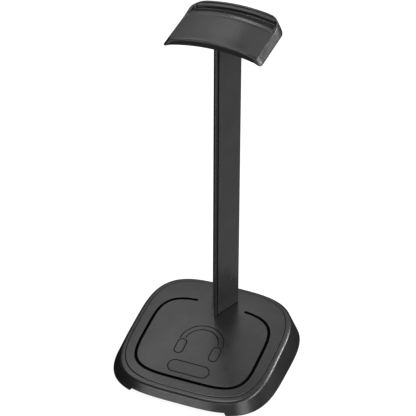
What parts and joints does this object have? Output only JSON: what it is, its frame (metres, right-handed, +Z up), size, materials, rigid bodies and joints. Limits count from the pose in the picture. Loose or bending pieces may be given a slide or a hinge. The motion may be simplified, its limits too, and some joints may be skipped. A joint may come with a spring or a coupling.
{
  "type": "headphone stand",
  "caption": "Desktop headphone stand: a weighted wedge base with a C-shaped slot, a slim wedge-section column and an arched saddle for the headband.",
  "frame": {"origin": "on the floor, under the middle of the base", "axes": "+X to the user's right, +Y to the back, +Z up"},
  "size_m": [0.13, 0.1283, 0.2829],
  "materials": {
    "shell_plastic": "satin anthracite, fine moulded grain",
    "inner_plastic": "matt black, moulded",
    "foot_rubber": "matt black rubber",
    "plated_steel": "zinc plated",
    "screw_steel": "blackened steel"
  },
  "bodies": {
    "root": {"base_cover": "shell_plastic", "bottom_plate": "inner_plastic", "ballast_plate": "plated_steel", "bottom_screw_1": "screw_steel", "bottom_screw_2": "screw_steel", "bottom_screw_3": "screw_steel", "bottom_screw_4": "screw_steel", "rubber_foot_1": "foot_rubber", "rubber_foot_2": "foot_rubber", "rubber_foot_3": "foot_rubber", "rubber_foot_4": "foot_rubber", "column_foot_flange": "plated_steel", "flange_screw_1": "screw_steel", "flange_screw_2": "screw_steel", "flange_screw_3": "screw_steel", "flange_screw_4": "screw_steel", "column_core": "plated_steel", "column_front_cover": "shell_plastic", "column_back_cover": "shell_plastic", "back_screw_1": "screw_steel", "back_screw_2": "screw_steel", "back_screw_3": "screw_steel", "saddle_top": "shell_plastic", "saddle_under_cover": "inner_plastic", "saddle_bracket": "plated_steel", "saddle_screw_1": "screw_steel", "saddle_screw_2": "screw_steel"}
  },
  "joints": []
}
